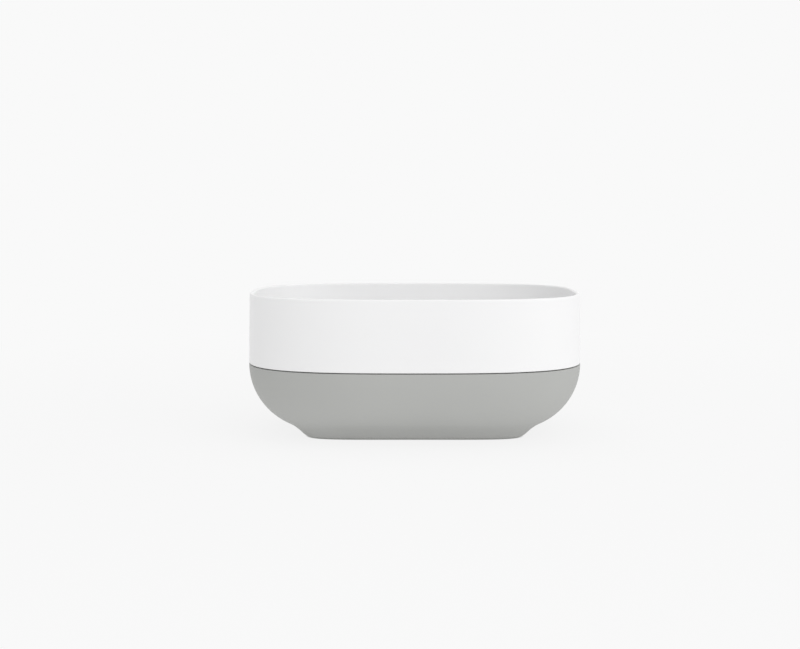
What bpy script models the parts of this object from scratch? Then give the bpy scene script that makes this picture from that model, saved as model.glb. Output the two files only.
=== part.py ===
"""Two-part soap dish: a white tray that lifts off a grey drip base on four soft pads.

Metres, +Z up. X runs along the dish, Y across it, and Z = 0 is the surface that the pads stand on.
Each wall is a loft of plan rings. A ring is a squared oval, drawn in from the seam's outline by its
inset, so every cross-section below is a list of (inset, height) points.
"""

import math

import bmesh
import bpy
from mathutils import Vector
from mathutils.geometry import interpolate_bezier

# Whole dish, which is longest and deepest at the seam
OVERALL_LENGTH = 0.113
OVERALL_DEPTH = 0.080
OVERALL_HEIGHT = 0.0484
SEAM_HEIGHT = 0.0247
SEAM_SQUARENESS = 3.03
FOOT_SQUARENESS = 6.5
SQUARENESS_GROWTH = 1.48
SEAT_GAP = 0.0003
EDGE_ROUND = 0.0003

# Tray: a wall that leans in and thins towards its lip, and a sloped margin round a flat drain bed
TRAY_LEAN = 0.0004
LIP_WALL = 0.0015
WELL_DRAFT = 0.0009
LIP_ROUND = 0.0005
LIP_INNER_ROUND = 0.0006
BED_HEIGHT = 0.0267
BED_INSET = 0.0145
FLOOR_THICKNESS = 0.0020
MARGIN_SLOPE = math.radians(8)
WELL_FILLET = 0.0060

# Spigot: the skirt under the tray that drops inside the base
SPIGOT_LENGTH = 0.0060
SPIGOT_WALL = 0.0016
SPIGOT_CLEARANCE = 0.0003
SPIGOT_LEAD = 0.0006

# Ribs across the drain bed, and the drain slots between them
RIB_PITCH = 0.0090
RIB_WIDTH = 0.0028
RIB_HEIGHT = 0.0022
RIB_CREST = 0.0008
RIB_MARGIN = 0.0025
RIB_ROOT = 0.0006
SLOT_WIDTH = 0.0032
SLOT_MARGIN = 0.0070
CUT_OVERRUN = 0.0010

# Base: bowl, neck and foot
BASE_WALL = 0.0022
BASE_FLOOR = 0.0022
BOWL_DROP = 0.0102
BOWL_SWEEP = 0.0077
NECK_INSET = 0.0131
NECK_HEIGHT = 0.0052
NECK_SLOPE = math.radians(25.5)
NECK_EASE = 0.0033
FOOT_INSET = 0.0193
FOOT_WALL_HEIGHT = 0.0006
FOOT_WALL_SLOPE = math.radians(36)
FOOT_EASE = 0.0004
FOOT_ROUND = 0.0007
FOOT_RING_WIDTH = 0.0026
FOOT_RECESS = 0.0020
RECESS_DRAFT = 0.0003

# Pads, and the round bosses that hold them under the base. Their places are shares of the
# recess's half length and half depth.
PAD_DIAMETER = 0.0080
PAD_THICKNESS = 0.0016
PAD_STANDOFF = 0.0004
PAD_CHAMFER = 0.0003
PAD_CLEARANCE = 0.0003
BOSS_WALL = 0.0012
BOSS_ROOT = 0.0008
PAD_PLACE_SHARES = (0.78, 0.573)

# Facets, and the angle past which an edge is shaded sharp
PLAN_SEGMENTS = 72
PAD_SEGMENTS = 32
BOWL_STEPS = 10
BLEND_STEPS = 5
FILLET_STEPS = 5
LIP_STEPS = 3
EDGE_STEPS = 2
END_STEPS = 6
SHARP_ANGLE = math.radians(35)

# Surface colours, linear
WHITE = (0.888, 0.894, 0.902, 1)
GREY = (0.457, 0.462, 0.448, 1)
SOFT_GREY = (0.215, 0.215, 0.210, 1)

# Worked out from the sizes above
SEAM_HALF_LENGTH = OVERALL_LENGTH / 2
SEAM_HALF_DEPTH = OVERALL_DEPTH / 2
SHOULDER_HEIGHT = SEAM_HEIGHT + SEAT_GAP
FOOT_FACE = PAD_STANDOFF
RECESS_CEILING = FOOT_FACE + FOOT_RECESS
RESERVOIR_FLOOR = RECESS_CEILING + BASE_FLOOR
SOCKET_DIAMETER = PAD_DIAMETER + 2 * PAD_CLEARANCE
SOCKET_CEILING = PAD_THICKNESS + PAD_CLEARANCE
BOSS_DIAMETER = SOCKET_DIAMETER + 2 * BOSS_WALL


def clear_scene():
    for thing in list(bpy.data.objects):
        bpy.data.objects.remove(thing, do_unlink=True)


def plastic(name, colour, roughness):
    material = bpy.data.materials.new(name)
    material.use_nodes = True
    shader = material.node_tree.nodes["Principled BSDF"]
    shader.inputs["Base Color"].default_value = colour
    shader.inputs["Roughness"].default_value = roughness
    shader.inputs["Metallic"].default_value = 0
    return material


def gloss_white():
    return plastic("gloss_white", WHITE, 0.25)


def satin_grey():
    return plastic("satin_grey", GREY, 0.5)


def soft_rubber():
    return plastic("soft_rubber", SOFT_GREY, 0.8)


def squareness(inset):
    """The plan's exponent: the rings grow squarer from the seam in to the foot."""
    growth = (inset / FOOT_INSET) ** SQUARENESS_GROWTH
    return SEAM_SQUARENESS + (FOOT_SQUARENESS - SEAM_SQUARENESS) * growth


def plan_ring(inset, height):
    """One squared oval, drawn in from the seam's outline."""
    power = 2 / squareness(inset)
    ring = []
    for step in range(PLAN_SEGMENTS):
        angle = 2 * math.pi * step / PLAN_SEGMENTS
        across = math.copysign(abs(math.cos(angle)) ** power, math.cos(angle))
        along = math.copysign(abs(math.sin(angle)) ** power, math.sin(angle))
        x = (SEAM_HALF_LENGTH - inset) * across
        y = (SEAM_HALF_DEPTH - inset) * along
        ring.append((x, y, height))
    return ring


def half_depth_at(x, inset):
    """How far a plan ring reaches across the dish at a place along it."""
    power = squareness(inset)
    share = min(abs(x) / (SEAM_HALF_LENGTH - inset), 1)
    return (SEAM_HALF_DEPTH - inset) * (1 - share**power) ** (1 / power)


def arc(centre, radius, start, end, steps):
    """Points round part of a circle in a cross-section; angles run from +inset towards up."""
    points = []
    for step in range(steps + 1):
        angle = start + (end - start) * step / steps
        offset = Vector((math.cos(angle), math.sin(angle))) * radius
        points.append(Vector(centre) + offset)
    return points


def drawn_in(outline, distance):
    """The outline moved square to itself, towards the inside of the dish."""
    moved = []
    for index, point in enumerate(outline):
        before = outline[max(index - 1, 0)]
        after = outline[min(index + 1, len(outline) - 1)]
        run = (after - before).normalized()
        moved.append(point + Vector((-run.y, run.x)) * distance)
    return moved


def inset_at(outline, height):
    """The inset of a falling outline at one height."""
    for upper, lower in zip(outline, outline[1:]):
        if lower.y <= height <= upper.y:
            share = (upper.y - height) / (upper.y - lower.y)
            return upper.x + (lower.x - upper.x) * share
    return outline[-1].x


def add_loft(bm, rings):
    """Walls between neighbouring rings, and a cap on the first and the last."""
    loops = [[bm.verts.new(point) for point in ring] for ring in rings]
    for first, second in zip(loops, loops[1:]):
        for index in range(len(first)):
            after = (index + 1) % len(first)
            bm.faces.new((first[index], first[after], second[after], second[index]))
    bm.faces.new(loops[0])
    bm.faces.new(loops[-1])


def new_object(name, bm, material=None):
    bmesh.ops.recalc_face_normals(bm, faces=bm.faces)
    mesh = bpy.data.meshes.new(name)
    bm.to_mesh(mesh)
    bm.free()
    mesh.shade_smooth()
    mesh.set_sharp_from_angle(angle=SHARP_ANGLE)
    if material:
        mesh.materials.append(material)
    made = bpy.data.objects.new(name, mesh)
    bpy.context.scene.collection.objects.link(made)
    return made


def use_tool(body, tool, operation):
    """Join or cut with a helper solid, whose own parts may run into each other."""
    tool.hide_render = True
    tool.display_type = "WIRE"
    modifier = body.modifiers.new(tool.name, "BOOLEAN")
    modifier.operation = operation
    modifier.solver = "EXACT"
    modifier.use_self = True
    modifier.object = tool


def stadium_ring(x, half_run, radius, height):
    """A round-ended outline across the dish."""
    ring = []
    for end in (1, -1):
        for step in range(END_STEPS + 1):
            angle = math.pi * step / END_STEPS
            ring.append(
                (
                    x + end * radius * math.cos(angle),
                    end * (half_run + radius * math.sin(angle)),
                    height,
                )
            )
    return ring


def bowl_outline():
    """The bowl's outside, from the base's rim down to the neck."""
    rim = Vector((0, SEAM_HEIGHT))
    neck = Vector((NECK_INSET, NECK_HEIGHT))
    fall = Vector((math.cos(NECK_SLOPE), -math.sin(NECK_SLOPE)))
    return interpolate_bezier(
        rim, rim - Vector((0, BOWL_DROP)), neck - fall * BOWL_SWEEP, neck, BOWL_STEPS
    )


def foot_outline():
    """From the neck down the foot's wall, round its edge and into the recess underneath."""
    neck = Vector((NECK_INSET, NECK_HEIGHT))
    neck_fall = Vector((math.cos(NECK_SLOPE), -math.sin(NECK_SLOPE)))
    wall_fall = Vector((math.cos(FOOT_WALL_SLOPE), -math.sin(FOOT_WALL_SLOPE)))
    corner = Vector((FOOT_INSET, FOOT_FACE))
    wall_top = corner - wall_fall * (FOOT_WALL_HEIGHT / math.sin(FOOT_WALL_SLOPE))
    blend = interpolate_bezier(
        neck,
        neck + neck_fall * NECK_EASE,
        wall_top - wall_fall * FOOT_EASE,
        wall_top,
        BLEND_STEPS,
    )
    flat_start = FOOT_INSET + FOOT_ROUND * math.tan(FOOT_WALL_SLOPE / 2)
    edge = arc(
        (flat_start, FOOT_FACE + FOOT_ROUND),
        FOOT_ROUND,
        1.5 * math.pi - FOOT_WALL_SLOPE,
        1.5 * math.pi,
        EDGE_STEPS + 1,
    )
    recess_inset = flat_start + FOOT_RING_WIDTH
    recess = [
        Vector((recess_inset, FOOT_FACE)),
        Vector((recess_inset + RECESS_DRAFT, RECESS_CEILING)),
    ]
    return blend[1:] + edge + recess


def reservoir_outline():
    """The base's inside, from its floor up to just under the rim's inner edge."""
    bowl = [point for point in bowl_outline() if point.y < SEAM_HEIGHT - EDGE_ROUND]
    inside = drawn_in(bowl, BASE_WALL)
    foot_of_wall = inside[-1]
    drop = foot_of_wall.y - RESERVOIR_FLOOR
    radius = drop / (1 - math.cos(NECK_SLOPE))
    floor_inset = foot_of_wall.x + radius * math.sin(NECK_SLOPE)
    floor = arc(
        (floor_inset, RESERVOIR_FLOOR + radius),
        radius,
        1.5 * math.pi - NECK_SLOPE,
        1.5 * math.pi,
        BLEND_STEPS,
    )
    return list(reversed(inside + floor[1:]))


def base_rim():
    """The base's top edge, from its inside over to its outside."""
    inner = arc(
        (BASE_WALL - EDGE_ROUND, SEAM_HEIGHT - EDGE_ROUND),
        EDGE_ROUND,
        0,
        math.pi / 2,
        EDGE_STEPS,
    )
    outer = arc(
        (EDGE_ROUND, SEAM_HEIGHT - EDGE_ROUND),
        EDGE_ROUND,
        math.pi / 2,
        math.pi,
        EDGE_STEPS,
    )
    return inner + outer


def pad_places():
    """The pads' centres: one in each corner of the foot's recess."""
    recess = foot_outline()[-1].x
    x = (SEAM_HALF_LENGTH - recess) * PAD_PLACE_SHARES[0]
    y = (SEAM_HALF_DEPTH - recess) * PAD_PLACE_SHARES[1]
    return {
        "front_left": (-x, -y),
        "front_right": (x, -y),
        "back_left": (-x, y),
        "back_right": (x, y),
    }


def pad_tools(name, diameter, bottom, top):
    """One upright cylinder at each pad's place."""
    bm = bmesh.new()
    for x, y in pad_places().values():
        centre = Vector((x, y, (bottom + top) / 2))
        made = bmesh.ops.create_cone(
            bm,
            cap_ends=True,
            segments=PAD_SEGMENTS,
            radius1=diameter / 2,
            radius2=diameter / 2,
            depth=top - bottom,
        )
        bmesh.ops.translate(bm, verts=made["verts"], vec=centre)
    return new_object(name, bm)


def drip_base():
    bowl = [point for point in bowl_outline() if point.y < SEAM_HEIGHT - EDGE_ROUND]
    outline = reservoir_outline() + base_rim() + bowl + foot_outline()
    bm = bmesh.new()
    add_loft(bm, [plan_ring(point.x, point.y) for point in outline])
    base = new_object("drip_base", bm, satin_grey())
    bosses = pad_tools("pad_bosses", BOSS_DIAMETER, FOOT_FACE, RECESS_CEILING + BOSS_ROOT)
    sockets = pad_tools("pad_sockets", SOCKET_DIAMETER, -CUT_OVERRUN, SOCKET_CEILING)
    use_tool(base, bosses, "UNION")
    use_tool(base, sockets, "DIFFERENCE")
    return base


def foot_pads():
    """Soft discs with a chamfered tread, each pressed into its own socket."""
    rubber = soft_rubber()
    for place, (x, y) in pad_places().items():
        bm = bmesh.new()
        bmesh.ops.create_cone(
            bm,
            cap_ends=True,
            segments=PAD_SEGMENTS,
            radius1=PAD_DIAMETER / 2,
            radius2=PAD_DIAMETER / 2,
            depth=PAD_THICKNESS,
        )
        tread = [
            edge
            for edge in bm.edges
            if all(vert.co.z < 0 for vert in edge.verts)
        ]
        bmesh.ops.bevel(bm, geom=tread, offset=PAD_CHAMFER, segments=1, affect="EDGES")
        pad = new_object("foot_pad_" + place, bm, rubber)
        pad.location = (x, y, PAD_THICKNESS / 2)


def well_outline():
    """The tray's inside, from the edge of the drain bed up to the lip."""
    wall_inset = TRAY_LEAN + LIP_WALL + WELL_DRAFT
    run = BED_INSET - wall_inset - WELL_FILLET * (1 - math.sin(MARGIN_SLOPE))
    centre_height = (
        BED_HEIGHT + WELL_FILLET * math.cos(MARGIN_SLOPE) + run * math.tan(MARGIN_SLOPE)
    )
    fillet = arc(
        (wall_inset + WELL_FILLET, centre_height),
        WELL_FILLET,
        1.5 * math.pi - MARGIN_SLOPE,
        math.pi,
        FILLET_STEPS,
    )
    return [Vector((BED_INSET, BED_HEIGHT))] + fillet


def lip_outline():
    """Over the lip, from the tray's inside to its outside."""
    inner = arc(
        (TRAY_LEAN + LIP_WALL - LIP_INNER_ROUND, OVERALL_HEIGHT - LIP_INNER_ROUND),
        LIP_INNER_ROUND,
        0,
        math.pi / 2,
        LIP_STEPS,
    )
    outer = arc(
        (TRAY_LEAN + LIP_ROUND, OVERALL_HEIGHT - LIP_ROUND),
        LIP_ROUND,
        math.pi / 2,
        math.pi,
        LIP_STEPS,
    )
    return inner + outer


def spigot_outline():
    """Under the tray: round the seam's edge, along the shoulder and round the spigot."""
    tip_height = SHOULDER_HEIGHT - SPIGOT_LENGTH
    inside_of_base = drawn_in(bowl_outline(), BASE_WALL)
    outside = inset_at(inside_of_base, tip_height) + SPIGOT_CLEARANCE
    inside = outside + SPIGOT_WALL
    seam_edge = arc(
        (EDGE_ROUND, SHOULDER_HEIGHT + EDGE_ROUND),
        EDGE_ROUND,
        math.pi,
        1.5 * math.pi,
        EDGE_STEPS,
    )
    ceiling = BED_HEIGHT - FLOOR_THICKNESS
    return seam_edge + [
        Vector((outside, SHOULDER_HEIGHT)),
        Vector((outside, tip_height + SPIGOT_LEAD)),
        Vector((outside + SPIGOT_LEAD / 2, tip_height)),
        Vector((inside, tip_height)),
        Vector((inside, ceiling + (BED_INSET - inside) * math.tan(MARGIN_SLOPE))),
        Vector((BED_INSET, ceiling)),
    ]


def rib_places():
    """Where the ribs stand along the dish: as many as the drain bed holds."""
    room = SEAM_HALF_LENGTH - BED_INSET - RIB_MARGIN - RIB_WIDTH / 2
    pairs = int(room / RIB_PITCH)
    return [index * RIB_PITCH for index in range(-pairs, pairs + 1)]


def rib_half_run(x):
    """Half of a rib's straight part, so that its round ends keep clear of the margin."""
    reach = half_depth_at(abs(x) + RIB_WIDTH / 2, BED_INSET)
    return reach - RIB_MARGIN - RIB_WIDTH / 2


def tray_ribs():
    """Round-topped ribs across the drain bed, rooted in its floor."""
    round_off = RIB_WIDTH / 2 - RIB_CREST / 2
    top = BED_HEIGHT + RIB_HEIGHT
    section = arc((0, top - round_off), round_off, 0, math.pi / 2, LIP_STEPS)
    bm = bmesh.new()
    for x in rib_places():
        half_run = rib_half_run(x)
        rings = [stadium_ring(x, half_run, RIB_WIDTH / 2, BED_HEIGHT - RIB_ROOT)]
        for point in section:
            rings.append(stadium_ring(x, half_run, RIB_CREST / 2 + point.x, point.y))
        add_loft(bm, rings)
    return new_object("tray_ribs", bm)


def slot_cutters():
    """Round-ended drain slots, one midway between each two ribs."""
    bottom = BED_HEIGHT - FLOOR_THICKNESS - CUT_OVERRUN
    top = BED_HEIGHT + CUT_OVERRUN
    bm = bmesh.new()
    places = rib_places()
    for left, right in zip(places, places[1:]):
        half_run = min(rib_half_run(left), rib_half_run(right)) - SLOT_MARGIN
        x = (left + right) / 2
        rings = [stadium_ring(x, half_run, SLOT_WIDTH / 2, z) for z in (bottom, top)]
        add_loft(bm, rings)
    return new_object("slot_cutters", bm)


def soap_tray():
    outline = well_outline() + lip_outline() + spigot_outline()
    bm = bmesh.new()
    add_loft(bm, [plan_ring(point.x, point.y) for point in outline])
    tray = new_object("soap_tray", bm, gloss_white())
    use_tool(tray, tray_ribs(), "UNION")
    use_tool(tray, slot_cutters(), "DIFFERENCE")
    return tray


clear_scene()
drip_base()
foot_pads()
soap_tray()
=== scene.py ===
import math

import bmesh
import bpy
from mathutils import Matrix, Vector
from mathutils.geometry import interpolate_bezier


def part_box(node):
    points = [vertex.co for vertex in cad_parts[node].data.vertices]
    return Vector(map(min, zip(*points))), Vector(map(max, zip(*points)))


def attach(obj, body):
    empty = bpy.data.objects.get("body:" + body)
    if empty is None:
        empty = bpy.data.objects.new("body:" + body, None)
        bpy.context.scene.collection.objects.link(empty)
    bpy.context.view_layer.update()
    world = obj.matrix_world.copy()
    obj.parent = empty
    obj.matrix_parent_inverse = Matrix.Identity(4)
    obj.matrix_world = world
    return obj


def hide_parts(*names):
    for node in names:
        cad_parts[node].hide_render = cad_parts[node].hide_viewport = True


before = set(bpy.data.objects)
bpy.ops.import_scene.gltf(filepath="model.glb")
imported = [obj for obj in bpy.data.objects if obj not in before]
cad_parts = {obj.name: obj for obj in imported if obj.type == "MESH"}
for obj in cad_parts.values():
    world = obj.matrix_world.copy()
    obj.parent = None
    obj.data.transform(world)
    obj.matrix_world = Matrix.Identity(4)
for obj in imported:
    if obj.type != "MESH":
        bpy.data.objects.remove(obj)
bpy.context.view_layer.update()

# The view. The dish is seen square to its long side and a little from above, from about 45 cm
# away, so a narrow band of the back wall's inside shows over the front of the lip.
CAMERA_PLACE = (-0.00498, -0.450, 0.08240)
CAMERA_FALL = math.radians(5.81)
CAMERA_NEAREST = 0.01
CAMERA_LENS_MM = 58.71
SENSOR_MM = 36.0

camera_data = bpy.data.cameras.new("camera")
camera_data.lens = CAMERA_LENS_MM
camera_data.sensor_width = SENSOR_MM
camera_data.clip_start = CAMERA_NEAREST
camera = bpy.data.objects.new("camera", camera_data)
camera.location = CAMERA_PLACE
camera.rotation_euler = (math.pi / 2 - CAMERA_FALL, 0, 0)
bpy.context.scene.collection.objects.link(camera)
bpy.context.scene.camera = camera
bpy.context.scene.view_settings.view_transform = "Standard"


# The drip base: a grey bowl on a short foot, moulded in one shot. Its wall is even all round, its
# top edge carries the tray, and its underside is hollowed out to a ring with four pad bosses.
base_low, base_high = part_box("drip_base")
SEAM_HALF_LENGTH = base_high.x
SEAM_HALF_DEPTH = base_high.y
RIM_HEIGHT = base_high.z
FOOT_FACE = base_low.z
SEAM_SQUARENESS = 3.03
FOOT_SQUARENESS = 6.5
SQUARENESS_GROWTH = 1.48
PLAN_POINTS = 360
LAND = 0.00008
LAND_STEP = Vector((LAND, 0))
LONG_STRAIGHT = 8 * LAND
EDGE_ROUND = 0.0003
RIM_STEPS = 6
BASE_WALL = 0.0022
BASE_FLOOR = 0.0022
BOWL_DROP = 0.0102
BOWL_SWEEP = 0.0077
BOWL_STEPS = 48
NECK_INSET = 0.0131
NECK_HEIGHT = 0.0052
NECK_SLOPE = math.radians(25.5)
NECK_EASE = 0.0033
NECK_STEPS = 20
FOOT_INSET = 0.0193
FOOT_WALL_HEIGHT = 0.0006
FOOT_WALL_SLOPE = math.radians(36)
FOOT_EASE = 0.0004
FOOT_ROUND = 0.0007
FOOT_STEPS = 8
FOOT_RING_WIDTH = 0.0026
FOOT_RING_STEPS = 5
FOOT_RECESS = 0.0020
RECESS_CEILING = FOOT_FACE + FOOT_RECESS
RECESS_DRAFT = 0.0003
RECESS_ROUND = 0.0006
RECESS_STEPS = 6
RESERVOIR_FLOOR = RECESS_CEILING + BASE_FLOOR
RESERVOIR_STEPS = 14
PAD_NODES = (
    "foot_pad_front_left",
    "foot_pad_front_right",
    "foot_pad_back_left",
    "foot_pad_back_right",
)
SOCKET_CLEARANCE = 0.0003
BOSS_WALL = 0.0012
BOSS_ROUND = 0.0003
BOSS_STEPS = 5
GATE_RADIUS = 0.0020
GATE_DEPTH = 0.0005
GATE_STEPS = 6
STUB_RADIUS = 0.0008
STUB_ROUND = 0.00025
STUB_STEPS = 4
ROUND_POINTS = 64
SHARP_ANGLE = math.radians(50)

# The directions in a cross-section, which is drawn with its inset or radius to the right.
RIGHT = 0
UP = math.pi / 2
LEFT = math.pi
DOWN = -math.pi / 2


def arc(centre, radius, start, end, steps):
    """Points on part of a circle, the short way round from one direction to the other."""
    turn = math.remainder(end - start, 2 * math.pi)
    points = []
    for step in range(steps + 1):
        angle = start + turn * step / steps
        points.append(Vector(centre) + Vector((math.cos(angle), math.sin(angle))) * radius)
    return points


def with_lands(outline):
    """The outline with a narrow land at both ends of each long straight, which keeps it flat."""
    full = [outline[0]]
    for before, after in zip(outline, outline[1:]):
        run = after - before
        if run.length > LONG_STRAIGHT:
            full.append(before + run.normalized() * LAND)
            full.append(after - run.normalized() * LAND)
        full.append(after)
    return full


def drawn_in(outline, distance):
    """The outline moved square to itself, towards the inside of the dish."""
    moved = []
    for index, point in enumerate(outline):
        before = outline[max(index - 1, 0)]
        after = outline[min(index + 1, len(outline) - 1)]
        run = (after - before).normalized()
        moved.append(point + Vector((-run.y, run.x)) * distance)
    return moved


def fall_along(slope):
    """A step of length 1 down a slope, towards the middle of the dish."""
    return Vector((math.cos(slope), -math.sin(slope)))


def bowl_outline():
    """From just under the rim down the bowl to the neck."""
    rim = Vector((0, RIM_HEIGHT))
    neck = Vector((NECK_INSET, NECK_HEIGHT))
    steep = rim - Vector((0, BOWL_DROP))
    shallow = neck - fall_along(NECK_SLOPE) * BOWL_SWEEP
    points = interpolate_bezier(rim, steep, shallow, neck, BOWL_STEPS)
    return [point for point in points if point.y < RIM_HEIGHT - EDGE_ROUND]


def foot_outline():
    """Down the foot's wall, round its edge, over the ring it stands on and up into the recess."""
    neck = Vector((NECK_INSET, NECK_HEIGHT))
    wall_fall = fall_along(FOOT_WALL_SLOPE)
    wall_length = FOOT_WALL_HEIGHT / math.sin(FOOT_WALL_SLOPE)
    wall_top = Vector((FOOT_INSET, FOOT_FACE)) - wall_fall * wall_length
    leaving = neck + fall_along(NECK_SLOPE) * NECK_EASE
    arriving = wall_top - wall_fall * FOOT_EASE
    blend = interpolate_bezier(neck, leaving, arriving, wall_top, NECK_STEPS)
    flat_start = FOOT_INSET + FOOT_ROUND * math.tan(FOOT_WALL_SLOPE / 2)
    edge_centre = (flat_start, FOOT_FACE + FOOT_ROUND)
    edge = arc(edge_centre, FOOT_ROUND, DOWN - FOOT_WALL_SLOPE, DOWN, FOOT_STEPS)
    flat_end = flat_start + FOOT_RING_WIDTH
    inner_centre = (flat_end - EDGE_ROUND, FOOT_FACE + EDGE_ROUND)
    inner_edge = arc(inner_centre, EDGE_ROUND, DOWN, RIGHT, FOOT_RING_STEPS)
    wall_end = flat_end + RECESS_DRAFT
    recess_centre = (wall_end + RECESS_ROUND, RECESS_CEILING - RECESS_ROUND)
    recess = arc(recess_centre, RECESS_ROUND, LEFT, UP, RECESS_STEPS)
    return blend[1:] + edge + inner_edge + recess + [recess[-1] + LAND_STEP]


def reservoir_outline():
    """From the reservoir's floor up its wall."""
    inside = drawn_in(bowl_outline(), BASE_WALL)
    foot_of_wall = inside[-1]
    radius = (foot_of_wall.y - RESERVOIR_FLOOR) / (1 - math.cos(NECK_SLOPE))
    centre = (foot_of_wall.x + radius * math.sin(NECK_SLOPE), RESERVOIR_FLOOR + radius)
    floor = arc(centre, radius, DOWN - NECK_SLOPE, DOWN, RESERVOIR_STEPS)
    return list(reversed(inside + floor[1:] + [floor[-1] + LAND_STEP]))


def rim_outline():
    """Over the rim, from the inside out."""
    height = RIM_HEIGHT - EDGE_ROUND
    inner = arc((BASE_WALL - EDGE_ROUND, height), EDGE_ROUND, RIGHT, UP, RIM_STEPS)
    outer = arc((EDGE_ROUND, height), EDGE_ROUND, UP, LEFT, RIM_STEPS)
    return inner + outer


def squareness(inset):
    """The power of the squared oval of the plan, which grows from the seam to the foot."""
    growth = (inset / FOOT_INSET) ** SQUARENESS_GROWTH
    return SEAM_SQUARENESS + (FOOT_SQUARENESS - SEAM_SQUARENESS) * growth


def plan_ring(inset, height):
    """A squared oval round the dish, drawn in from the outline of the seam."""
    power = 2 / squareness(inset)
    ring = []
    for step in range(PLAN_POINTS):
        angle = 2 * math.pi * step / PLAN_POINTS
        along = math.copysign(abs(math.cos(angle)) ** power, math.cos(angle))
        across = math.copysign(abs(math.sin(angle)) ** power, math.sin(angle))
        x = (SEAM_HALF_LENGTH - inset) * along
        y = (SEAM_HALF_DEPTH - inset) * across
        ring.append((x, y, height))
    return ring


def round_ring(x, y, radius, height):
    """A circle round an upright axis."""
    ring = []
    for step in range(ROUND_POINTS):
        angle = 2 * math.pi * step / ROUND_POINTS
        ring.append((x + radius * math.cos(angle), y + radius * math.sin(angle), height))
    return ring


def add_walls(bm, rings):
    """A wall from ring to ring. Returns the vertices of each."""
    loops = []
    for ring in rings:
        loops.append([bm.verts.new(point) for point in ring])
    for first, second in zip(loops, loops[1:]):
        for index in range(len(first)):
            after = (index + 1) % len(first)
            bm.faces.new((first[index], first[after], second[after], second[index]))
    return loops


def add_flat(bm, loops):
    """One level face that is bounded by the first loop and pierced by the others."""
    edges = []
    for loop in loops:
        for index in range(len(loop)):
            edges.append(bm.edges.get((loop[index], loop[(index + 1) % len(loop)])))
    bmesh.ops.triangle_fill(bm, edges=edges, use_beauty=True, normal=(0, 0, 1))


def add_boss(bm, low, high):
    """A round boss with a blind socket for one pad. Returns the loop where it meets the ceiling."""
    x = (low.x + high.x) / 2
    y = (low.y + high.y) / 2
    socket = (high.x - low.x) / 2 + SOCKET_CLEARANCE
    boss = socket + BOSS_WALL
    root_centre = (boss + BOSS_ROUND, RECESS_CEILING - BOSS_ROUND)
    root = arc(root_centre, BOSS_ROUND, UP, LEFT, BOSS_STEPS)
    edge_height = FOOT_FACE + BOSS_ROUND
    outside = arc((boss - BOSS_ROUND, edge_height), BOSS_ROUND, RIGHT, DOWN, BOSS_STEPS)
    mouth = arc((socket + BOSS_ROUND, edge_height), BOSS_ROUND, DOWN, LEFT, BOSS_STEPS)
    top = Vector((socket, high.z + SOCKET_CLEARANCE))
    section = [root[0] + LAND_STEP] + root + outside + mouth
    section += [top, top - LAND_STEP]
    loops = add_walls(bm, [round_ring(x, y, *point) for point in with_lands(section)])
    bm.faces.new(loops[-1])
    return loops[0]


def add_gate(bm):
    """The shallow round dimple where the mould was filled, with the stub trimmed below it."""
    top = RECESS_CEILING + GATE_DEPTH
    side = arc((GATE_RADIUS + GATE_DEPTH, top), GATE_DEPTH, DOWN, LEFT, GATE_STEPS)
    stub = arc((STUB_RADIUS - STUB_ROUND, top), STUB_ROUND, RIGHT, DOWN, STUB_STEPS)
    section = [side[0] + LAND_STEP] + side + stub
    loops = add_walls(bm, [round_ring(0, 0, *point) for point in section])
    bm.faces.new(loops[-1])
    return loops[0]


def finish_piece(name, bm, material):
    bmesh.ops.recalc_face_normals(bm, faces=bm.faces)
    mesh = bpy.data.meshes.new(name)
    bm.to_mesh(mesh)
    bm.free()
    mesh.shade_smooth()
    mesh.set_sharp_from_angle(angle=SHARP_ANGLE)
    mesh.materials.append(material)
    piece = bpy.data.objects.new(name, mesh)
    bpy.context.scene.collection.objects.link(piece)
    return piece


# What all moulded surfaces share: the coarseness of their clouds and ripple, how finely each noise
# is broken up, and how strongly the material bends light.
CLOUD_SCALE = 45
CLOUD_DETAIL = 3
RIPPLE_SCALE = 90
RIPPLE_DETAIL = 1
GRAIN_DETAIL = 2
MOULDED_IOR = 1.5


def add_noise(tree, place, scale, detail):
    noise = tree.nodes.new("ShaderNodeTexNoise")
    noise.inputs["Scale"].default_value = scale
    noise.inputs["Detail"].default_value = detail
    tree.links.new(place.outputs["Object"], noise.inputs["Vector"])
    return noise


def add_relief(tree, noise, depth):
    relief = tree.nodes.new("ShaderNodeBump")
    relief.inputs["Distance"].default_value = depth
    tree.links.new(noise.outputs["Fac"], relief.inputs["Height"])
    return relief


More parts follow.
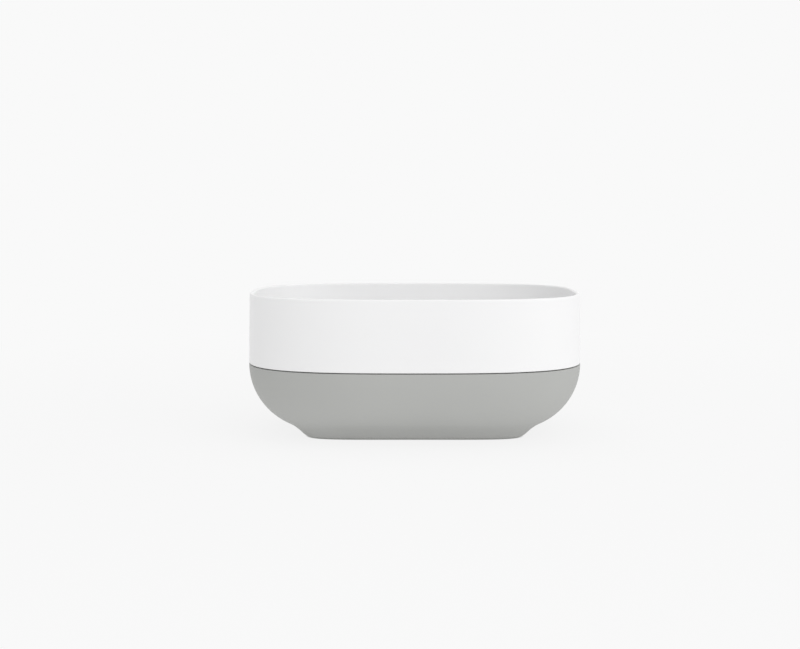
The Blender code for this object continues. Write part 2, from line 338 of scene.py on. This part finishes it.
def moulded_surface(name, pale, deep, gloss, shine, grain, grain_depth, ripple_depth):
    """Two near tones in soft clouds, with a slow ripple and a fine grain left by the mould."""
    material = bpy.data.materials.new(name)
    material.use_nodes = True
    tree = material.node_tree
    shader = tree.nodes["Principled BSDF"]
    shader.inputs["IOR"].default_value = MOULDED_IOR
    shader.inputs["Specular IOR Level"].default_value = shine
    place = tree.nodes.new("ShaderNodeTexCoord")
    clouds = add_noise(tree, place, CLOUD_SCALE, CLOUD_DETAIL)
    tones = tree.nodes.new("ShaderNodeMix")
    tones.data_type = "RGBA"
    tones.inputs["A"].default_value = pale
    tones.inputs["B"].default_value = deep
    tree.links.new(clouds.outputs["Fac"], tones.inputs["Factor"])
    tree.links.new(tones.outputs["Result"], shader.inputs["Base Color"])
    polish = tree.nodes.new("ShaderNodeMapRange")
    polish.inputs["To Min"].default_value = gloss[0]
    polish.inputs["To Max"].default_value = gloss[1]
    tree.links.new(clouds.outputs["Fac"], polish.inputs["Value"])
    tree.links.new(polish.outputs["Result"], shader.inputs["Roughness"])
    ripple = add_relief(tree, add_noise(tree, place, RIPPLE_SCALE, RIPPLE_DETAIL), ripple_depth)
    speckle = add_relief(tree, add_noise(tree, place, grain, GRAIN_DETAIL), grain_depth)
    tree.links.new(ripple.outputs["Normal"], speckle.inputs["Normal"])
    tree.links.new(speckle.outputs["Normal"], shader.inputs["Normal"])
    return material


def satin_grey():
    return moulded_surface(
        "satin_grey",
        pale=(0.454, 0.459, 0.445, 1),
        deep=(0.433, 0.438, 0.425, 1),
        gloss=(0.60, 0.70),
        shine=0.25,
        grain=4200,
        grain_depth=0.000012,
        ripple_depth=0.00002,
    )


def make_base():
    section = reservoir_outline() + rim_outline() + bowl_outline() + foot_outline()
    bm = bmesh.new()
    loops = add_walls(bm, [plan_ring(*point) for point in with_lands(section)])
    bm.faces.new(loops[0])
    openings = [add_boss(bm, *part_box(node)) for node in PAD_NODES]
    openings.append(add_gate(bm))
    add_flat(bm, [loops[-1]] + openings)
    return finish_piece("base_moulding", bm, satin_grey())


base = make_base()
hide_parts("drip_base")
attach(base, "base")


# The foot pads: four discs moulded in soft grey rubber and pressed into the base's sockets. Water
# under a pad drains into the shallow ring in its tread, so that the pad keeps its grip.
PAD_ROUND = 0.00035
PAD_TOP_STEPS = 5
PAD_TREAD_STEPS = 6
GROOVE_RADIUS = 0.0022
GROOVE_ROUND = 0.0005
GROOVE_EASE = math.radians(20)
GROOVE_STEPS = 8


def soft_rubber():
    return moulded_surface(
        "soft_rubber",
        pale=(0.23, 0.23, 0.225, 1),
        deep=(0.19, 0.19, 0.186, 1),
        gloss=(0.72, 0.86),
        shine=0.3,
        grain=3200,
        grain_depth=0.00003,
        ripple_depth=0.00002,
    )


def make_pad(node, material):
    low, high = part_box(node)
    x = (low.x + high.x) / 2
    y = (low.y + high.y) / 2
    inside = (high.x - low.x) / 2 - PAD_ROUND
    top = arc((inside, high.z - PAD_ROUND), PAD_ROUND, UP, RIGHT, PAD_TOP_STEPS)
    tread = arc((inside, low.z + PAD_ROUND), PAD_ROUND, RIGHT, DOWN, PAD_TREAD_STEPS)
    groove_centre = (GROOVE_RADIUS, low.z)
    start = RIGHT + GROOVE_EASE
    end = LEFT - GROOVE_EASE
    groove = arc(groove_centre, GROOVE_ROUND, start, end, GROOVE_STEPS)
    outer_end = Vector((GROOVE_RADIUS + GROOVE_ROUND, low.z))
    inner_end = Vector((GROOVE_RADIUS - GROOVE_ROUND, low.z))
    section = [top[0] - LAND_STEP] + top + tread
    section += [outer_end] + groove + [inner_end, inner_end - LAND_STEP]
    bm = bmesh.new()
    loops = add_walls(bm, [round_ring(x, y, *point) for point in with_lands(section)])
    bm.faces.new(loops[0])
    bm.faces.new(loops[-1])
    return finish_piece(node.replace("foot_pad", "rubber_pad"), bm, material)


rubber = soft_rubber()
for node in PAD_NODES:
    pad = make_pad(node, rubber)
    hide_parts(node)
    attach(pad, "base")


# The tray: a white moulding with a soft gloss that rests on the base's rim. Its wall leans in and
# thins towards a narrow rounded lip, and a short skirt below its shoulder drops into the base.
tray_low, tray_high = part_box("soap_tray")
LIP_HEIGHT = tray_high.z
LIP_WALL = 0.0015
LIP_ROUND = 0.0005
LIP_STEPS = 10
LIP_INNER_ROUND = 0.0006
LIP_INNER_STEPS = 14
TRAY_LEAN = 0.0004
SEAT_GAP = 0.0003
SEAM_EDGE_STEPS = 6
SHOULDER_HEIGHT = RIM_HEIGHT + SEAT_GAP
SKIRT_TIP = tray_low.z
SKIRT_CLEARANCE = 0.0003
SKIRT_WALL = 0.0016
SKIRT_ROUND = 0.0005
SKIRT_STEPS = 6
SKIRT_ROOT = 0.0010
SKIRT_ROOT_STEPS = 8
WELL_DRAFT = 0.0009
WELL_FILLET = 0.0060
WELL_FILLET_STEPS = 20
MARGIN_SLOPE = math.radians(8)
BED_HEIGHT = 0.0267
BED_INSET = 0.0145
BED_EASE = 0.0080
BED_EASE_STEPS = 6
FLOOR_THICKNESS = 0.0020


def gloss_white():
    return moulded_surface(
        "gloss_white",
        pale=(0.880, 0.880, 0.882, 1),
        deep=(0.862, 0.862, 0.865, 1),
        gloss=(0.31, 0.41),
        shine=0.5,
        grain=2600,
        grain_depth=0.000002,
        ripple_depth=0.00003,
    )


def bed_edge(height):
    """The eased bend from the level bed to its sloping margin, from the middle outwards."""
    reach = BED_EASE * math.tan(MARGIN_SLOPE / 2)
    centre = (BED_INSET + reach, height + BED_EASE)
    bend = arc(centre, BED_EASE, DOWN, DOWN - MARGIN_SLOPE, BED_EASE_STEPS)
    return [bend[0] + LAND_STEP] + bend


def well_outline():
    """From the bed up the margin, round the fillet and up the inside wall."""
    wall_inset = TRAY_LEAN + LIP_WALL + WELL_DRAFT
    run = BED_INSET - wall_inset - WELL_FILLET * (1 - math.sin(MARGIN_SLOPE))
    rise = WELL_FILLET * math.cos(MARGIN_SLOPE) + run * math.tan(MARGIN_SLOPE)
    centre = (wall_inset + WELL_FILLET, BED_HEIGHT + rise)
    fillet = arc(centre, WELL_FILLET, DOWN - MARGIN_SLOPE, LEFT, WELL_FILLET_STEPS)
    return bed_edge(BED_HEIGHT) + fillet


def lip_outline():
    """Over the lip, from the inside out."""
    inner_inset = TRAY_LEAN + LIP_WALL - LIP_INNER_ROUND
    inner_centre = (inner_inset, LIP_HEIGHT - LIP_INNER_ROUND)
    inner = arc(inner_centre, LIP_INNER_ROUND, RIGHT, UP, LIP_INNER_STEPS)
    outer_centre = (TRAY_LEAN + LIP_ROUND, LIP_HEIGHT - LIP_ROUND)
    outer = arc(outer_centre, LIP_ROUND, UP, LEFT, LIP_STEPS)
    return inner + outer


def inset_at(outline, height):
    """How far in an outline that runs downwards lies at a height."""
    for upper, lower in zip(outline, outline[1:]):
        if lower.y <= height <= upper.y:
            share = (upper.y - height) / (upper.y - lower.y)
            return upper.x + (lower.x - upper.x) * share
    return outline[-1].x


def skirt_outline():
    """Round the seam's edge, in along the shoulder, round the skirt and out to the bed's edge."""
    inside_of_base = drawn_in(bowl_outline(), BASE_WALL)
    outside = inset_at(inside_of_base, SKIRT_TIP) + SKIRT_CLEARANCE
    inside = outside + SKIRT_WALL
    seam_centre = (EDGE_ROUND, SHOULDER_HEIGHT + EDGE_ROUND)
    seam_edge = arc(seam_centre, EDGE_ROUND, LEFT, DOWN, SEAM_EDGE_STEPS)
    corner = Vector((outside, SHOULDER_HEIGHT))
    tip_height = SKIRT_TIP + SKIRT_ROUND
    tip_out = arc((outside + SKIRT_ROUND, tip_height), SKIRT_ROUND, LEFT, DOWN, SKIRT_STEPS)
    tip_in = arc((inside - SKIRT_ROUND, tip_height), SKIRT_ROUND, DOWN, RIGHT, SKIRT_STEPS)
    ceiling = BED_HEIGHT - FLOOR_THICKNESS
    root_height = ceiling + (BED_INSET - inside) * math.tan(MARGIN_SLOPE)
    root_centre = (inside + SKIRT_ROOT, root_height - SKIRT_ROOT)
    root = arc(root_centre, SKIRT_ROOT, LEFT, UP, SKIRT_ROOT_STEPS)
    return seam_edge + [corner] + tip_out + tip_in + root + bed_edge(ceiling)[::-1]


# The drain bed is part of the tray's moulding. Round-topped ribs lift what lies on them out of the
# wet, and a slot between each two lets the water through. Each rib has a small fillet at its root.
RIB_PITCH = 0.0090
RIB_WIDTH = 0.0028
RIB_HEIGHT = 0.0022
RIB_MARGIN = 0.0025
RIB_CREST = 0.0008
RIB_CREST_STEPS = 10
RIB_ROOT_ROUND = 0.0005
RIB_ROOT_STEPS = 6
SLOT_WIDTH = 0.0032
SLOT_MARGIN = 0.0070
SLOT_ROUND = 0.0004
SLOT_STEPS = 6
SLOT_UNDER_ROUND = 0.0002
SLOT_UNDER_STEPS = 4
END_STEPS = 16


def half_depth_at(x, inset):
    """How far the plan's outline reaches to the front and back of a place along the dish."""
    power = squareness(inset)
    share = min(abs(x) / (SEAM_HALF_LENGTH - inset), 1)
    return (SEAM_HALF_DEPTH - inset) * (1 - share**power) ** (1 / power)


def rib_places():
    """Where the ribs stand along the dish, with one in the middle."""
    room = SEAM_HALF_LENGTH - BED_INSET - RIB_MARGIN - RIB_WIDTH / 2
    pairs = int(room / RIB_PITCH)
    return [index * RIB_PITCH for index in range(-pairs, pairs + 1)]


def rib_half_run(x):
    """Half the straight part of a rib, whose ends stop short of the edge of the bed."""
    return half_depth_at(abs(x) + RIB_WIDTH / 2, BED_INSET) - RIB_MARGIN - RIB_WIDTH / 2


def long_ring(x, half_run, radius, height):
    """A round-ended outline that runs from the front of the dish to the back."""
    ring = []
    for end in (1, -1):
        for step in range(END_STEPS + 1):
            angle = math.pi * step / END_STEPS
            across = end * (half_run + radius * math.sin(angle))
            ring.append((x + end * radius * math.cos(angle), across, height))
    return ring


def add_rib(bm, x):
    """One rib, from the fillet at its root up to its crest. Returns the loop on the bed."""
    half = RIB_WIDTH / 2
    root_centre = (half + RIB_ROOT_ROUND, BED_HEIGHT + RIB_ROOT_ROUND)
    root = arc(root_centre, RIB_ROOT_ROUND, DOWN, LEFT, RIB_ROOT_STEPS)
    crest_round = half - RIB_CREST / 2
    crest_centre = (RIB_CREST / 2, BED_HEIGHT + RIB_HEIGHT - crest_round)
    crest = arc(crest_centre, crest_round, RIGHT, UP, RIB_CREST_STEPS)
    section = [root[0] + LAND_STEP] + root + crest + [crest[-1] - LAND_STEP]
    half_run = rib_half_run(x)
    loops = add_walls(bm, [long_ring(x, half_run, *point) for point in with_lands(section)])
    bm.faces.new(loops[-1])
    return loops[0]


def add_slot(bm, left, right):
    """One drain slot with eased edges. Returns its loops on the bed and under the floor."""
    half = SLOT_WIDTH / 2
    upper_centre = (half + SLOT_ROUND, BED_HEIGHT - SLOT_ROUND)
    upper = arc(upper_centre, SLOT_ROUND, UP, LEFT, SLOT_STEPS)
    lower_centre = (half + SLOT_UNDER_ROUND, BED_HEIGHT - FLOOR_THICKNESS + SLOT_UNDER_ROUND)
    lower = arc(lower_centre, SLOT_UNDER_ROUND, LEFT, DOWN, SLOT_UNDER_STEPS)
    section = [upper[0] + LAND_STEP] + upper + lower + [lower[-1] + LAND_STEP]
    half_run = min(rib_half_run(left), rib_half_run(right)) - SLOT_MARGIN
    x = (left + right) / 2
    loops = add_walls(bm, [long_ring(x, half_run, *point) for point in with_lands(section)])
    return loops[0], loops[-1]


def make_tray():
    section = with_lands(well_outline() + lip_outline() + skirt_outline())
    bm = bmesh.new()
    loops = add_walls(bm, [plan_ring(*point) for point in section])
    above = [loops[0]]
    below = [loops[-1]]
    places = rib_places()
    for x in places:
        above.append(add_rib(bm, x))
    for left, right in zip(places, places[1:]):
        on_bed, under_floor = add_slot(bm, left, right)
        above.append(on_bed)
        below.append(under_floor)
    add_flat(bm, above)
    add_flat(bm, below)
    return finish_piece("tray_moulding", bm, gloss_white())


tray = make_tray()
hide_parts("soap_tray")
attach(tray, "tray")


# The studio. A sheet of pale paper lies under the dish, in a room that looks as pale. The paper
# is dark in the gap under the foot, has a faint shadow round it, and ends in one even tone.
PAPER_WIDTH = 12.0
PAPER_COLOUR = (0.88, 0.88, 0.88, 1)
EVEN_TONE = (0.947, 0.947, 0.947, 1)
ROOM_LIGHT = (1.0, 1.0, 1.0, 1)
ROOM_STRENGTH = 0.61

# The even tone's share in the paper goes from low to high between two distances outside the foot's
# outline. The first two add up in what is seen, and the last holds for the light it gives back.
CONTACT_FADE = {"start": -0.0008, "end": 0.0004, "low": 0.0, "high": 0.88}
DISTANT_FADE = {"start": 0.03, "end": 0.30, "low": 0.0, "high": 0.12}
BOUNCE_FADE = {"start": 0.003, "end": 0.024, "low": 0.45, "high": 1.0}


def feed(tree, socket, value):
    """Gives a socket a fixed value or the result of another node."""
    if isinstance(value, bpy.types.NodeSocket):
        tree.links.new(value, socket)
    else:
        socket.default_value = value


def maths(tree, operation, first, second):
    node = tree.nodes.new("ShaderNodeMath")
    node.operation = operation
    feed(tree, node.inputs[0], first)
    feed(tree, node.inputs[1], second)
    return node.outputs["Value"]


def vector_maths(tree, operation, first, second):
    node = tree.nodes.new("ShaderNodeVectorMath")
    node.operation = operation
    feed(tree, node.inputs[0], first)
    feed(tree, node.inputs[1], second)
    return node.outputs["Vector"]


def length_of(tree, vector):
    node = tree.nodes.new("ShaderNodeVectorMath")
    node.operation = "LENGTH"
    feed(tree, node.inputs[0], vector)
    return node.outputs["Value"]


def mixed_shaders(tree, share, first, second):
    node = tree.nodes.new("ShaderNodeMixShader")
    feed(tree, node.inputs["Fac"], share)
    feed(tree, node.inputs[1], first)
    feed(tree, node.inputs[2], second)
    return node.outputs["Shader"]


def seen_directly(tree):
    """1 for rays that look at the paper, straight on or mirrored, and 0 for those that light."""
    path = tree.nodes.new("ShaderNodeLightPath")
    seen = path.outputs["Is Camera Ray"]
    for kind in ("Is Glossy Ray", "Is Transmission Ray"):
        seen = maths(tree, "MAXIMUM", seen, path.outputs[kind])
    return seen


def light_the_room():
    world = bpy.data.worlds.new("studio")
    world.use_nodes = True
    tree = world.node_tree
    tree.nodes.clear()
    room = tree.nodes.new("ShaderNodeBackground")
    room.inputs["Color"].default_value = ROOM_LIGHT
    room.inputs["Strength"].default_value = ROOM_STRENGTH
    backdrop = tree.nodes.new("ShaderNodeBackground")
    backdrop.inputs["Color"].default_value = EVEN_TONE
    output = tree.nodes.new("ShaderNodeOutputWorld")
    seen = seen_directly(tree)
    shown = mixed_shaders(tree, seen, room.outputs["Background"], backdrop.outputs["Background"])
    feed(tree, output.inputs["Surface"], shown)
    bpy.context.scene.world = world


def clear_of_the_foot(tree):
    """How far outside the foot's outline a point of the paper lies, straight out from its middle.

    The outline is taken as a squared oval of power 6, on which the cubes have a length of 1.
    """
    inverse_cube_root = -1 / 3
    place = tree.nodes.new("ShaderNodeNewGeometry").outputs["Position"]
    foot_size = (SEAM_HALF_LENGTH - FOOT_INSET, SEAM_HALF_DEPTH - FOOT_INSET, 1)
    shares = vector_maths(tree, "DIVIDE", place, foot_size)
    squares = vector_maths(tree, "MULTIPLY", shares, shares)
    cubes = vector_maths(tree, "MULTIPLY", squares, shares)
    share_inside = maths(tree, "POWER", length_of(tree, cubes), inverse_cube_root)
    share_outside = maths(tree, "SUBTRACT", 1, share_inside)
    return maths(tree, "MULTIPLY", share_outside, length_of(tree, place))


def fade(tree, distance, start, end, low, high):
    change = tree.nodes.new("ShaderNodeMapRange")
    change.interpolation_type = "SMOOTHSTEP"
    change.inputs["From Min"].default_value = start
    change.inputs["From Max"].default_value = end
    change.inputs["To Min"].default_value = low
    change.inputs["To Max"].default_value = high
    feed(tree, change.inputs["Value"], distance)
    return change.outputs["Result"]


def pale_paper():
    material = bpy.data.materials.new("pale_paper")
    material.use_nodes = True
    tree = material.node_tree
    tree.nodes.clear()
    lit = tree.nodes.new("ShaderNodeBsdfDiffuse")
    lit.inputs["Color"].default_value = PAPER_COLOUR
    even = tree.nodes.new("ShaderNodeEmission")
    even.inputs["Color"].default_value = EVEN_TONE
    output = tree.nodes.new("ShaderNodeOutputMaterial")
    clear = clear_of_the_foot(tree)
    near = fade(tree, clear, **CONTACT_FADE)
    far = fade(tree, clear, **DISTANT_FADE)
    evenness = tree.nodes.new("ShaderNodeMix")
    feed(tree, evenness.inputs["Factor"], seen_directly(tree))
    feed(tree, evenness.inputs["A"], fade(tree, clear, **BOUNCE_FADE))
    feed(tree, evenness.inputs["B"], maths(tree, "ADD", near, far))
    share = evenness.outputs["Result"]
    shown = mixed_shaders(tree, share, lit.outputs["BSDF"], even.outputs["Emission"])
    feed(tree, output.inputs["Surface"], shown)
    return material


def lay_the_paper():
    bm = bmesh.new()
    bmesh.ops.create_grid(bm, x_segments=1, y_segments=1, size=PAPER_WIDTH / 2)
    mesh = bpy.data.meshes.new("paper_floor")
    bm.to_mesh(mesh)
    bm.free()
    mesh.materials.append(pale_paper())
    paper = bpy.data.objects.new("paper_floor", mesh)
    bpy.context.scene.collection.objects.link(paper)


light_the_room()
lay_the_paper()


# The lamps. The main soft box stands to the right and in front of the dish, so that the right end
# is the brightest and the left end falls away. One overhead and a weak one in front fill in.
LAMPS = (
    ("soft_box_right", (1.00, -0.85, 0.60), 1.80, 9.0),
    ("soft_box_above", (0.00, 0.10, 1.40), 1.80, 6.5),
    ("soft_box_front", (0.00, -1.30, 0.60), 0.90, 1.2),
)


def hang_lamp(name, place, width, watts):
    lamp_data = bpy.data.lights.new(name, "AREA")
    lamp_data.shape = "SQUARE"
    lamp_data.size = width
    lamp_data.energy = watts
    lamp = bpy.data.objects.new(name, lamp_data)
    lamp.location = place
    lamp.rotation_euler = (-Vector(place)).to_track_quat("-Z", "Y").to_euler()
    bpy.context.scene.collection.objects.link(lamp)


for name, place, width, watts in LAMPS:
    hang_lamp(name, place, width, watts)
